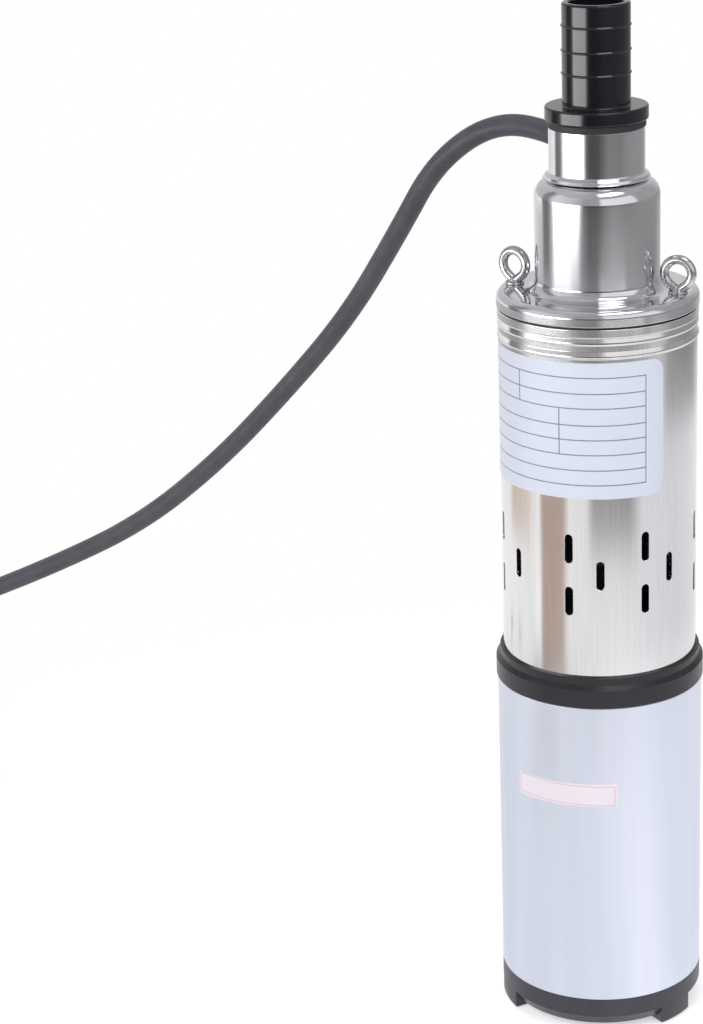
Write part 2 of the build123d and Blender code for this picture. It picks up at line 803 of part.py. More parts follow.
def power_cable():
    points = cable_route()
    radii = corner_radii(points)
    print("cable radii", [round(r) for r in radii])
    path = FilletPolyline(*points, radius=radii)
    tube = sweep(Plane(origin=points[0], z_dir=(0, 0, 1)) * Circle(cable_radius), path=path)
    share = tube.volume / (math.pi * cable_radius ** 2 * path.length)
    print("cable length", round(path.length), "volume against section times length", round(share, 5))
    return tube


def cable_coil():
    half = coil_columns * cable_radius
    height = coil_layers * cable_diameter
    section = Pos(coil_mean_radius, height / 2) * RectangleRounded(2 * half, height, cable_radius * 0.9)
    return Pos(*coil_centre, 0) * revolve(Plane.XZ * section, Axis.Z)


def coil_tie():
    width = coil_columns * cable_diameter + 2 * coil_tie_thickness
    height = coil_layers * cable_diameter + coil_tie_thickness
    outer = Rectangle(width, height)
    inner = Pos(0, -coil_tie_thickness / 2) * Rectangle(
        width - 2 * coil_tie_thickness, height - coil_tie_thickness)
    section = Plane.XZ * Pos(coil_mean_radius, height / 2) * (outer - inner)
    band = extrude(section, coil_tie_width / 2, both=True)
    return Pos(*coil_centre, 0) * Rot(0, 0, coil_tie_angle) * band


def end_plane(along):
    """Section plane on the cable's bare end, so far along from where it leaves the coil."""
    outer = coil_mean_radius + (coil_columns - 1) * cable_radius
    x, y, z = polar(outer, coil_end_angle)
    heading = Vector(*polar(1, coil_end_angle + 90))
    start = Vector(coil_centre[0] + x, coil_centre[1] + y, cable_radius)
    return Plane(origin=start + heading * along, x_dir=(0, 0, 1), z_dir=heading)


def cable_end():
    return end_plane(0) * extrude(Circle(cable_radius), cable_end_length)


def core(side):
    lift = core_radius * math.sin(math.radians(core_spread)) + thread_gap
    start = end_plane(cable_end_length) * Pos(0, side * (core_radius + slide_gap), lift)
    return start * Rot(side * -core_spread, 0, 0)


def core_wire(side):
    return core(side) * extrude(Circle(core_radius), core_length)


def core_tips():
    return group([core(side) * Pos(0, 0, core_length) * extrude(Circle(tip_radius), tip_length)
                  for side in (-1, 1)])


def parts():
    left, right = eye_places()
    lower_outer, lower_inner, lower_balls = bearing(lower_bearing_bottom)
    upper_outer, upper_inner, upper_balls = bearing(upper_bearing_bottom)
    return {
        "bottom_cover": bottom_cover(), "cover_screws": cover_screws(),
        "cover_seal_ring": oring(cover_groove), "controller_board": controller_board(),
        "motor_tube": ring(motor_bore, motor_tube_radius, tube_bottom, tube_top),
        "lower_bracket": lower_bracket(), "lower_bearing_outer": lower_outer,
        "lower_bearing_inner": lower_inner, "lower_bearing_balls": lower_balls,
        "stator_core": stator_core(), "stator_windings": stator_windings(),
        "motor_shaft": motor_shaft(), "rotor_core": rotor_core(), "rotor_magnets": rotor_magnets(),
        "upper_bearing_outer": upper_outer, "upper_bearing_inner": upper_inner,
        "upper_bearing_balls": upper_balls, "seal_housing": seal_housing(),
        "tube_seal_ring": oring(housing_groove), "seal_seat": seal_seat(),
        "seal_face": seal_face(), "seal_bellows": seal_bellows(), "sand_slinger": sand_slinger(),
        "shaft_coupling": shaft_coupling(), "coupling_screws": coupling_screws(),
        "connecting_rod": connecting_rod(), "pump_screw": pump_screw(),
        "stator_tube": stator_tube(), "stator_lining": stator_lining(), "clamp_plate": clamp_plate(),
        "tie_rods": tie_rods(), "inner_cable": inner_cable(), "pump_sleeve": pump_sleeve(),
        "head_gasket": head_gasket(), "outlet_head": outlet_head(), "outlet_neck": outlet_neck(),
        "barb_gasket": barb_gasket(), "hose_barb": hose_barb(),
        "lifting_eye_left": lifting_eye(left, eye_left_turn),
        "lifting_eye_right": lifting_eye(right, eye_right_turn),
        "gland_body": gland_body(), "gland_seal": gland_seal(), "gland_nut": gland_nut(),
        "power_cable": power_cable(), "cable_coil": cable_coil(), "coil_tie": coil_tie(),
        "cable_end": cable_end(), "core_red": core_wire(-1), "core_blue": core_wire(1),
        "core_tips": core_tips(),
    }


os.makedirs("parts", exist_ok=True)
for name, shape in parts().items():
    export_step(shape, f"parts/{name}.step")
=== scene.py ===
import math

import bpy
from mathutils import Matrix, Vector
from mathutils.geometry import delaunay_2d_cdt


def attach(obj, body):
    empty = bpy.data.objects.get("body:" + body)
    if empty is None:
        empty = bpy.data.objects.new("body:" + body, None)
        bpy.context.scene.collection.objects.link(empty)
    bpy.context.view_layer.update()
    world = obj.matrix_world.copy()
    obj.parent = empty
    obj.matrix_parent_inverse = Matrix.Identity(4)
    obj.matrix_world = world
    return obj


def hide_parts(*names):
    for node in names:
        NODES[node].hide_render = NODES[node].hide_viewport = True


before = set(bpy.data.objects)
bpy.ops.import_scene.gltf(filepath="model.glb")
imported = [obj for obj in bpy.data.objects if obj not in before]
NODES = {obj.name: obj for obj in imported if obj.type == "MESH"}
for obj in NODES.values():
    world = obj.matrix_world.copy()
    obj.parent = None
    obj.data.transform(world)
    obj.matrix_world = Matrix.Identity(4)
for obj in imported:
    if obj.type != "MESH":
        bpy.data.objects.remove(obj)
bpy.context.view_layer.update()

MM = 0.001
BODY = "casing"

# Sizes in millimetres. The main ones are the CAD source's.
TUBE_BOTTOM = 15.0
TUBE_TOP = 138.4
TUBE_RADIUS = 39.5
SLEEVE_RADIUS = 37.05
SLEEVE_BORE = 36.05
SLEEVE_BOTTOM = 146.0
SLEEVE_TOP = 285.0
FLANGE_BOTTOM = 286.5
FLANGE_TOP = 292.0
FLANGE_RADIUS = 37.75
DOME_RADIUS = 23.25
DOME_TOP = 334.0
NECK_RADIUS = 17.65
NECK_TOP = 352.3
COLLAR_BOTTOM = 355.0
COLLAR_TOP = 360.2
COLLAR_RADIUS = 19.0
SPIGOT_RADIUS = 16.2
SPIGOT_LENGTH = 15.0
BARB_RADIUS = 12.5
BARB_BORE = 10.0
BARB_TOP = 397.4
BARB_TEETH = (371.8, 380.1, 389.0)
TUBE_WALL = 1.5
DOME_WALL = 1.2
NECK_WALL = 1.25
GASKET_BORE = 16.3
GASKET_RADIUS = 18.1
SEAT_BORE = 22.2
SEAT_RADIUS = 36.75
CABLE = 8.4

# Slots: half width and half length, angles from the front to the right, heights of the three rows.
SLOT_HALF = (1.55, 5.65)
SLOT_PAIRS = (-77.0, -17.6, 27.8, 76.6, 125.0, 171.0, 221.0)
SLOT_SINGLES = (-54.4, 0.9, 45.1, 92.0, 139.0, 186.0, 238.0)
SLOT_HEIGHTS = (180.4, 190.8, 201.1)

# Eyes: distance from the axis; then piece, node, angle from +X and turn of the loop.
EYE_CIRCLE = 31.5
EYES = (("eye_left_loop", "lifting_eye_left", 168.0, -35.0),
        ("eye_right_loop", "lifting_eye_right", -21.0, -18.0))


# Camera: yaw, pitch and roll in degrees, place in metres, lens and picture height in millimetres.

CAMERA_TURNS = (-5.56, 19.01, -2.12)
CAMERA_PLACE = (0, -0.974, 0.541)
CAMERA_LENS = 94.43
PICTURE_HEIGHT = 36


def make_camera():
    yaw, pitch, roll = (math.radians(a) for a in CAMERA_TURNS)
    ahead = math.cos(pitch)
    forward = Vector((math.sin(yaw) * ahead, math.cos(yaw) * ahead, -math.sin(pitch)))
    level = Vector((math.cos(yaw), -math.sin(yaw), 0))
    above = level.cross(forward)
    side = math.cos(roll) * level + math.sin(roll) * above
    top = math.cos(roll) * above - math.sin(roll) * level
    data = bpy.data.cameras.new("camera")
    data.sensor_fit = "VERTICAL"
    data.sensor_height = PICTURE_HEIGHT
    data.lens = CAMERA_LENS
    data.clip_start = 0.01
    cam = bpy.data.objects.new("camera", data)
    facing = Matrix((side, top, -forward)).transposed()
    cam.matrix_world = Matrix.LocRotScale(Vector(CAMERA_PLACE), facing, None)
    bpy.context.collection.objects.link(cam)
    bpy.context.scene.camera = cam


make_camera()


# Helpers for node trees. Each returns an output socket, except blank_tree and feed.

def blank_tree(owner):
    """The node tree of a new material or world, with nothing in it."""
    owner.use_nodes = True
    owner.node_tree.nodes.clear()
    return owner.node_tree


def feed(tree, socket, value):
    """Links an output socket to a socket, or sets a constant there."""
    if isinstance(value, bpy.types.NodeSocket):
        tree.links.new(value, socket)
    else:
        socket.default_value = value


def math_node(tree, kind, *values):
    node = tree.nodes.new("ShaderNodeMath")
    node.operation = kind
    for socket, value in zip(node.inputs, values):
        feed(tree, socket, value)
    return node.outputs[0]


def axis_reach(tree, x, y):
    """Distance from the Z axis."""
    return math_node(tree, "SQRT", math_node(
        tree, "ADD", math_node(tree, "MULTIPLY", x, x), math_node(tree, "MULTIPLY", y, y)))


def azimuth(tree, x, y):
    """Angle round the Z axis from the front to the right, in radians."""
    return math_node(tree, "ARCTAN2", x, math_node(tree, "MULTIPLY", y, -1.0))


def ramp(tree, value, stops):
    """Colour along value. Stops are (position, linear colour)."""
    node = tree.nodes.new("ShaderNodeValToRGB")
    tree.links.new(value, node.inputs[0])
    points = node.color_ramp.elements
    while len(points) < len(stops):
        points.new(0.5)
    for point, (at, colour) in zip(points, stops):
        point.position = at
        point.color = (*colour, 1)
    return node.outputs[0]


def mix_colours(tree, share, first, second):
    node = tree.nodes.new("ShaderNodeMix")
    node.data_type = "RGBA"
    for place, value in zip((0, 6, 7), (share, first, second)):
        feed(tree, node.inputs[place], value)
    return node.outputs[2]


def mix_shaders(tree, share, first, second):
    node = tree.nodes.new("ShaderNodeMixShader")
    for socket, value in zip(node.inputs, (share, first, second)):
        tree.links.new(value, socket)
    return node.outputs[0]


def fade_in(tree, value, low, high, kind="LINEAR"):
    """0 to 1 while value runs from low to high."""
    node = tree.nodes.new("ShaderNodeMapRange")
    node.interpolation_type = kind
    for socket, edge in zip(node.inputs[1:3], (low, high)):
        socket.default_value = edge
    tree.links.new(value, node.inputs[0])
    return node.outputs[0]


def any_ray(tree):
    """1 for camera, glossy and transmission rays, so that they all meet the same white."""
    seen = tree.nodes.new("ShaderNodeLightPath").outputs
    either = math_node(tree, "MAXIMUM", seen["Is Camera Ray"], seen["Is Glossy Ray"])
    return math_node(tree, "MAXIMUM", either, seen["Is Transmission Ray"])


class Mat:
    """A principled material with small helpers for procedural looks."""

    def __init__(self, name):
        self.material = bpy.data.materials.new(name)
        self.tree = blank_tree(self.material)
        out = self.tree.nodes.new("ShaderNodeOutputMaterial")
        self.bsdf = self.tree.nodes.new("ShaderNodeBsdfPrincipled")
        self.link(self.bsdf.outputs["BSDF"], out.inputs["Surface"])
        self.object_space = self.tree.nodes.new("ShaderNodeTexCoord").outputs["Object"]

    def link(self, a, b):
        self.tree.links.new(a, b)

    def math(self, kind, *values):
        return math_node(self.tree, kind, *values)

    def xyz(self):
        node = self.tree.nodes.new("ShaderNodeSeparateXYZ")
        self.link(self.object_space, node.inputs[0])
        return node.outputs

    def around(self, turn, height):
        """Coordinates that stretch by turn round the Z axis and by height along it, with no seam."""
        x, y, z = self.xyz()
        reach = axis_reach(self.tree, x, y)
        node = self.tree.nodes.new("ShaderNodeCombineXYZ")
        for socket, part in zip(node.inputs, (x, y)):
            self.link(self.math("MULTIPLY", self.math("DIVIDE", part, reach), turn), socket)
        self.link(self.math("MULTIPLY", z, height), node.inputs[2])
        return node.outputs[0]

    def noise(self, vector, scale, detail=3.0, rough=0.5):
        node = self.tree.nodes.new("ShaderNodeTexNoise")
        self.link(vector, node.inputs["Vector"])
        for name, value in (("Scale", scale), ("Detail", detail), ("Roughness", rough)):
            node.inputs[name].default_value = value
        return node.outputs["Fac"]

    def shades(self, value, light, dark):
        """Runs from dark to light over the middle of a noise. Both are 8-bit sRGB."""
        return ramp(self.tree, value, ((0.3, srgb(*dark)), (0.7, srgb(*light))))

    def span(self, value, low, high):
        """Maps 0..1 to low..high."""
        return self.math("MULTIPLY_ADD", value, high - low, low)

    def bump(self, height, strength, distance):
        node = self.tree.nodes.new("ShaderNodeBump")
        node.inputs["Strength"].default_value = strength
        node.inputs["Distance"].default_value = distance
        self.link(height, node.inputs["Height"])
        self.link(node.outputs[0], self.bsdf.inputs["Normal"])

    def set(self, **values):
        for name, value in values.items():
            socket = self.bsdf.inputs[name.replace("_", " ")]
            if isinstance(value, tuple):
                value = (*value, 1)
            feed(self.tree, socket, value)


def srgb(r, g, b):
    """Linear colour of an 8-bit sRGB one."""
    return tuple(((c / 255 + 0.055) / 1.055) ** 2.4 if c > 10 else c / 3295 for c in (r, g, b))


def polished(name, light, dark, rough, depth=0.04):
    """Bright metal with very fine lines round the axis, as a lathe and a buffing wheel leave them.

    Depth is how deep the lines look, in millimetres.
    """
    m = Mat(name)
    lines = m.noise(m.around(0.02, 1.0), 1400.0, 4.0, 0.6)
    cloud = m.noise(m.object_space, 55.0, 3.0)
    m.set(Base_Color=m.shades(cloud, light, dark), Metallic=1.0,
          Roughness=m.span(lines, rough * 0.6, rough * 1.5))
    m.bump(lines, 0.25, depth * MM)
    return m.material


def moulded(name, light, dark, rough, grain=0.02, size=2600.0):
    """Moulded plastic or rubber with a slight grain and uneven gloss."""
    m = Mat(name)
    cloud = m.noise(m.object_space, 70.0, 4.0)
    pores = m.noise(m.object_space, size, 2.0)
    m.set(Base_Color=m.shades(cloud, light, dark),
          Roughness=m.span(m.noise(m.object_space, 240.0), rough * 0.75, rough * 1.25))
    m.bump(pores, 0.3, grain * MM)
    return m.material


def sleeve_material():
    """Rolled stainless sheet: faint upright streaks and a soft haze."""
    m = Mat("rolled_sleeve")
    streaks = m.noise(m.around(2.2, 1.2), 34.0, 5.0, 0.65)
    haze = m.noise(m.object_space, 38.0, 4.0)
    m.set(Base_Color=m.shades(streaks, (231, 230, 231), (222, 221, 221)), Metallic=1.0,
          Roughness=m.span(haze, 0.1, 0.17))
    m.bump(m.noise(m.around(0.9, 0.5), 60.0, 3.0), 0.01, 0.05 * MM)
    return m.material


def tube_material():
    """Satin drawn tube with long soft bands along it."""
    m = Mat("satin_motor_tube")
    bands = m.noise(m.around(1.0, 1.3), 3.0, 3.0, 0.5)
    fine = m.noise(m.around(6.0, 3.0), 60.0, 3.0, 0.6)
    m.set(Base_Color=m.shades(bands, (228, 231, 244), (216, 222, 236)), Metallic=1.0,
          Roughness=m.span(fine, 0.3, 0.42))
    m.bump(fine, 0.1, 0.02 * MM)
    return m.material


def ruled(name, field, line, boxes):
    """A plate wrapped round the axis, with ruled lines. Boxes are their angle and height ranges."""
    m = Mat(name)
    x, y, z = m.xyz()
    turn = azimuth(m.tree, x, y)
    ink = None
    for a0, a1, z0, z1 in boxes:
        across = m.math("COMPARE", turn, math.radians((a0 + a1) / 2), math.radians((a1 - a0) / 2))
        upward = m.math("COMPARE", z, (z0 + z1) / 2 * MM, (z1 - z0) / 2 * MM)
        inside = m.math("MULTIPLY", across, upward)
        ink = inside if ink is None else m.math("MAXIMUM", ink, inside)
    mottle = m.noise(m.object_space, 90.0, 3.0)
    worn = m.math("MULTIPLY", ink, m.span(m.noise(m.object_space, 900.0), 0.55, 0.95))
    paper = m.shades(mottle, field, [c - 3 for c in field])
    m.set(Base_Color=mix_colours(m.tree, worn, paper, (*srgb(*line), 1)),
          Roughness=m.span(mottle, 0.28, 0.4))
    m.bump(m.noise(m.object_space, 1500.0), 0.15, 0.01 * MM)
    return m.material


MIRROR = polished("polished_steel_head", (226, 226, 230), (214, 214, 219), 0.1, depth=0.012)
EYE_STEEL = polished("bright_eye_steel", (206, 206, 208), (176, 176, 180), 0.2)
TURNED = polished("turned_steel", (190, 192, 196), (168, 170, 175), 0.3)
ZINC = polished("zinc_plated_steel", (198, 200, 196), (170, 172, 168), 0.26)
CAST_METAL = polished("machined_casting", (150, 152, 156), (126, 128, 132), 0.42)
SLEEVE = sleeve_material()
TUBE = tube_material()
GLOSS_BLACK = moulded("gloss_black_plastic", (25, 24, 31), (19, 18, 24), 0.14, 0.01)
RING_BLACK = moulded("ring_black_plastic", (31, 30, 37), (24, 23, 30), 0.34, 0.02)
SATIN_BLACK = moulded("satin_black_plastic", (62, 61, 70), (50, 49, 58), 0.36, 0.02)
RUBBER = moulded("black_rubber", (44, 43, 47), (32, 31, 35), 0.55, 0.05, 1800.0)
CABLE_SHEATH = moulded("cable_sheath", (76, 74, 82), (64, 62, 70), 0.5, 0.04, 1600.0)
LINING = moulded("lining_rubber", (58, 54, 50), (44, 41, 38), 0.6, 0.05)
CORE_STEEL = moulded("lamination_steel", (118, 120, 126), (94, 96, 102), 0.45, 0.05, 3000.0)
MAGNET = moulded("sintered_magnet", (86, 88, 92), (70, 72, 76), 0.4, 0.04)
COPPER = polished("winding_copper", (214, 128, 84), (184, 98, 60), 0.3)
CERAMIC = moulded("white_ceramic", (236, 232, 222), (224, 219, 208), 0.25, 0.005)
CARBON = moulded("carbon_seal", (46, 46, 48), (36, 36, 38), 0.35, 0.01)
BOARD = moulded("board_green", (40, 96, 66), (28, 78, 52), 0.4, 0.02)
RED_CORE = moulded("red_insulation", (190, 38, 34), (168, 28, 26), 0.4)
BLUE_CORE = moulded("blue_insulation", (36, 70, 150), (26, 54, 128), 0.4)
TINNED = polished("tinned_strands", (206, 204, 198), (176, 174, 170), 0.32)
STRAP = moulded("tie_strap", (52, 52, 56), (40, 40, 44), 0.45, 0.04)

NODE_LOOKS = {
    "cover_screws": ZINC, "cover_seal_ring": RUBBER, "controller_board": BOARD,
    "lower_bracket": CAST_METAL, "lower_bearing_outer": TURNED, "lower_bearing_inner": TURNED,
    "lower_bearing_balls": TURNED, "stator_core": CORE_STEEL, "stator_windings": COPPER,
    "motor_shaft": TURNED, "rotor_core": CORE_STEEL, "rotor_magnets": MAGNET,
    "upper_bearing_outer": TURNED, "upper_bearing_inner": TURNED, "upper_bearing_balls": TURNED,
    "tube_seal_ring": RUBBER, "seal_seat": CERAMIC, "seal_face": CARBON, "seal_bellows": RUBBER,
    "sand_slinger": RUBBER, "shaft_coupling": TURNED, "coupling_screws": ZINC, "connecting_rod": TURNED,
    "pump_screw": TURNED, "stator_tube": TURNED, "stator_lining": LINING, "clamp_plate": CAST_METAL,
    "tie_rods": ZINC, "inner_cable": CABLE_SHEATH, "gland_body": SATIN_BLACK, "gland_seal": RUBBER,
    "gland_nut": SATIN_BLACK, "coil_tie": STRAP, "core_red": RED_CORE, "core_blue": BLUE_CORE,
    "core_tips": TINNED, "bottom_cover": SATIN_BLACK, "motor_tube": TUBE, "seal_housing": RING_BLACK,
    "pump_sleeve": SLEEVE, "head_gasket": RUBBER, "outlet_head": MIRROR, "outlet_neck": MIRROR,
    "barb_gasket": RUBBER, "hose_barb": GLOSS_BLACK, "lifting_eye_left": EYE_STEEL,
    "lifting_eye_right": EYE_STEEL, "power_cable": CABLE_SHEATH, "cable_coil": CABLE_SHEATH,
    "cable_end": CABLE_SHEATH,
}
for node_name, look in NODE_LOOKS.items():
    for place in NODES[node_name].material_slots:
        place.material = look


# Meshes

def add_object(name, data, material):
    obj = bpy.data.objects.new(name, data)
    bpy.context.collection.objects.link(obj)
    data.materials.append(material)
    return obj


def stand_for(obj, slot, *nodes):
    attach(obj, BODY)
    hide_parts(*nodes)


def rounded(corners, closed=True, step=15.0):
    """Half section with rounded corners. Corners are (radius, height[, round radius]).

    Returns (point, normal) pairs. The normal is None at a sharp corner. Step is in degrees.
    """
    count = len(corners)
    points = []
    for i, corner in enumerate(corners):
        here = Vector(corner[:2])
        size = corner[2] if len(corner) > 2 else 0.0
        if size == 0 or (not closed and i in (0, count - 1)):
            points.append((here, None))
            continue
        back = Vector(corners[i - 1][:2]) - here
        ahead = Vector(corners[(i + 1) % count][:2]) - here
        half = back.angle(ahead) / 2
        turn = math.pi - 2 * half
        run = size / math.tan(half)
        bisector = (back.normalized() + ahead.normalized()).normalized()
        centre = here + bisector * (size / math.sin(half))
        start = here + back.normalized() * run - centre
        side = 1 if back.x * ahead.y - back.y * ahead.x < 0 else -1
        steps = max(2, math.ceil(math.degrees(turn) / step))
        for k in range(steps + 1):
            arm = start.copy()
            arm.rotate(Matrix.Rotation(side * turn * k / steps, 2))
            points.append((centre + arm, arm.normalized()))
    return points


def turned(corners, closed=True, segments=180, step=15.0, middle=(0.0, 0.0)):
    """Faces and corner normals of a turned piece. Its half section goes upwards on the outer side."""
    points = rounded(corners, closed, step)
    count = len(points)
    edges = [(i, (i + 1) % count) for i in range(count if closed else count - 1)]
    edges = [(i, j) for i, j in edges if (points[i][0] - points[j][0]).length > 1e-6]
    faces, normals = [], []
    for k in range(segments):
        a0, a1 = (2 * math.pi * n / segments for n in (k, k + 1))
        for i, j in edges:
            run = (points[j][0] - points[i][0]).normalized()
            flat = Vector((run.y, -run.x))
            face, shade = [], []
            for at, a in ((i, a0), (i, a1), (j, a1), (j, a0)):
                place, own = points[at]
                if own is None or abs(own.dot(flat)) < 0.7:
                    own = flat
                own = own if own.dot(flat) > 0 else -own
                cos, sin = math.cos(a), math.sin(a)
                face.append((middle[0] + place.x * cos, middle[1] + place.x * sin, place.y))
                shade.append((own.x * cos, own.x * sin, own.y))
            faces.append(face)
            normals.append(shade)
    return faces, normals


def build(name, surfaces, material):
    """One mesh object from surfaces of faces and their corner normals, in millimetres.

    Each surface keeps its own vertices, so that its edge stays crisp where it meets the next.
    """
    verts, faces, normals = [], [], []
    for surface_faces, surface_normals in surfaces:
        index = {}
        for face, shade in zip(surface_faces, surface_normals):
            ring, keep = [], []
            for place, normal in zip(face, shade):
                key = tuple(round(c, 4) for c in place)
                if key not in index:
                    index[key] = len(verts)
                    verts.append(tuple(c * MM for c in place))
                if index[key] not in ring:
                    ring.append(index[key])
                    keep.append(normal)
            if len(ring) > 2:
                faces.append(ring)
                normals += keep
    mesh = bpy.data.meshes.new(name)
    mesh.from_pydata(verts, [], faces)
    mesh.polygons.foreach_set("use_smooth", [True] * len(faces))
    mesh.normals_split_custom_set(normals)
    return add_object(name, mesh, material)


def lathe(name, corners, material, **shape):
    return build(name, [turned(corners, **shape)], material)


def wrap(radius, angle, height):
    """Point at an angle from +X, in degrees."""
    a = math.radians(angle)
    return (radius * math.cos(a), radius * math.sin(a), height)


def wrap_normal(angle, sign=1.0):
    a = math.radians(angle)
    return (sign * math.cos(a), sign * math.sin(a), 0.0)


# The cord first: its route repeats the CAD source's points, in metres.

EXIT = (0.012016, 0.029010, 0.2975)
ROUTE = [
    EXIT, (0.012016, 0.029010, 0.3135), (0.003, 0.030, 0.331), (-0.014, 0.034, 0.343),
    (-0.038, 0.042, 0.347), (-0.062, 0.054, 0.329), (-0.079, 0.071, 0.297), (-0.102, 0.094, 0.257),
    (-0.133, 0.116, 0.218), (-0.166, 0.139, 0.180), (-0.206, 0.163, 0.143), (-0.254, 0.189, 0.113),
    (-0.306, 0.215, 0.085), (-0.343, 0.234, 0.066), (-0.379, 0.226, 0.051), (-0.402, 0.197, 0.038),
    (-0.400, 0.160, 0.028), (-0.376, 0.132, 0.020), (-0.339, 0.127, 0.014)]
COIL_CENTRE = (-0.350, 0.180)
# Angle reached, radius and height there; the turns run evenly from one to the next.
COIL_MARKS = (
    (282, 54.4, 13.4), (330, 54.4, 12.6), (542, 54.4, 12.6), (602, 46.0, 12.6), (902, 46.0, 12.6),
    (962, 37.6, 12.6), (1262, 37.6, 12.6), (1322, 37.6, 4.2), (1562, 37.6, 4.2), (1622, 46.0, 4.2),
    (1922, 46.0, 4.2), (1982, 54.4, 4.2), (2340, 54.4, 4.2))
COIL_STEP = 24
END_LENGTH = 0.046


def coil_points():
    """Control points of the put-away turns, widened a little because the spline cuts inside them."""
    points = []
    widen = 2 / (1 + math.cos(math.radians(COIL_STEP / 2)))
    angle = COIL_MARKS[0][0] + COIL_STEP
    last = COIL_MARKS[-1][0]
    while angle < last:
        for (a0, r0, z0), (a1, r1, z1) in zip(COIL_MARKS, COIL_MARKS[1:]):
            if a0 <= angle <= a1:
                t = (angle - a0) / (a1 - a0)
                radius = (r0 + (r1 - r0) * t) * widen
                height = z0 + (z1 - z0) * t
        turn = math.radians(angle)
        points.append((COIL_CENTRE[0] + radius * MM * math.cos(turn),
                       COIL_CENTRE[1] + radius * MM * math.sin(turn), height * MM))
        angle += COIL_STEP
    return points


def make_cord():
    data = bpy.data.curves.new("power_cord", "CURVE")
    data.dimensions = "3D"
    radius = CABLE / 2 * MM
    data.bevel_depth = radius
    data.bevel_resolution = 7
    data.resolution_u = 10
    data.use_fill_caps = True
    leave_x = COIL_CENTRE[0] - COIL_MARKS[-1][1] * MM
    tail = [(leave_x, COIL_CENTRE[1] + along, radius) for along in (0.006, -0.014, -END_LENGTH)]
    points = ROUTE + coil_points() + tail
    spline = data.splines.new("NURBS")
    spline.points.add(len(points) - 1)
    for point, place in zip(spline.points, points):
        point.co = (*place, 1)
    spline.order_u = 3
    spline.use_endpoint_u = True
    return add_object("power_cord", data, CABLE_SHEATH)


cord = make_cord()
cord.visible_glossy = False  # the photographed metal doesn't mirror the put-away coil
stand_for(cord, "cable_rubber", "power_cable", "cable_coil", "cable_end")


# Turned pieces

def turned_pieces():
    foot = COLLAR_BOTTOM - SPIGOT_LENGTH
    barb = [(BARB_BORE, foot), (SPIGOT_RADIUS - 1, foot), (SPIGOT_RADIUS, foot + 1),
            (SPIGOT_RADIUS, COLLAR_BOTTOM), (COLLAR_RADIUS, COLLAR_BOTTOM, 0.6),
            (COLLAR_RADIUS, COLLAR_TOP, 0.8), (BARB_RADIUS, COLLAR_TOP, 0.6)]
    crest = BARB_RADIUS + 0.4
    for height in BARB_TEETH:
        barb += [(BARB_RADIUS, height - 0.35), (crest, height - 0.05, 0.15),
                 (crest, height + 0.15, 0.2), (BARB_RADIUS, height + 0.6)]
    barb += [(BARB_RADIUS, BARB_TOP, 0.9), (BARB_BORE, BARB_TOP, 0.8)]
    stand_for(lathe("barb_turned", barb, GLOSS_BLACK), "black_plastic", "hose_barb")

    gasket = [(GASKET_BORE, NECK_TOP), (GASKET_RADIUS, NECK_TOP, 0.5),
              (GASKET_RADIUS, COLLAR_BOTTOM, 0.5), (GASKET_BORE, COLLAR_BOTTOM)]
    stand_for(lathe("barb_gasket_turned", gasket, RUBBER), "black_rubber", "barb_gasket")

    dome_bore, dome_ceiling = DOME_RADIUS - DOME_WALL, DOME_TOP - DOME_WALL
    neck_bore, lip = NECK_RADIUS - NECK_WALL, FLANGE_BOTTOM - 0.4
    head = [(dome_bore, FLANGE_BOTTOM), (FLANGE_RADIUS - 1, FLANGE_BOTTOM),
            (FLANGE_RADIUS - 0.9, lip), (FLANGE_RADIUS, lip, 0.3),
            (FLANGE_RADIUS, FLANGE_TOP, 3.0), (DOME_RADIUS, FLANGE_TOP, 4.0),
            (DOME_RADIUS, DOME_TOP, 6.5),
            (NECK_RADIUS + 1.7, DOME_TOP - 0.35, 0.5), (NECK_RADIUS + 1.5, DOME_TOP + 0.9, 0.6),
            (NECK_RADIUS, DOME_TOP + 1.7, 0.8), (NECK_RADIUS, NECK_TOP, 0.15),
            (neck_bore, NECK_TOP), (neck_bore, dome_ceiling), (dome_bore, dome_ceiling, 5.3)]
    stand_for(lathe("head_turned", head, MIRROR, segments=224, step=7.5), "polished_steel",
              "outlet_head", "outlet_neck")

    seat = [(SEAT_BORE, SLEEVE_TOP), (SEAT_RADIUS, SLEEVE_TOP, 0.4),
            (SEAT_RADIUS, FLANGE_BOTTOM, 0.4), (SEAT_BORE, FLANGE_BOTTOM)]
    stand_for(lathe("head_gasket_turned", seat, RUBBER), "black_rubber", "head_gasket")

    tube_bore = TUBE_RADIUS - TUBE_WALL
    tube = [(tube_bore, TUBE_BOTTOM), (TUBE_RADIUS, TUBE_BOTTOM, 0.2), (TUBE_RADIUS, TUBE_TOP, 0.2),
            (tube_bore, TUBE_TOP)]
    stand_for(lathe("motor_tube_drawn", tube, TUBE, segments=192), "satin_tube", "motor_tube")


turned_pieces()


# Slotted sleeve

SLEEVE_COLUMNS = 180
SEAM = 139.0
BEAD_FOOT = SLEEVE_TOP - 11.6
SHEET_ROWS = (SLEEVE_BOTTOM, 168.0, 213.0, 240.0, BEAD_FOOT)
SLOT_STEPS = 8
SLOT_EDGE = 0.12

# Rolled beads and lip at the sleeve's top: bulge, distance below the top, rounding.
BEADS = (
    (0.0, 10.9, 0.5), (0.6, 10.1, 0.6), (0.55, 9.6, 0.8), (0.08, 8.0, 0.6), (0.1, 5.8, 0.3),
    (0.5, 5.2, 0.6), (0.45, 4.6, 1.0), (0.1, 3.0, 0.4), (0.45, 2.6, 0.25), (0.45, -0.3, 0.4))


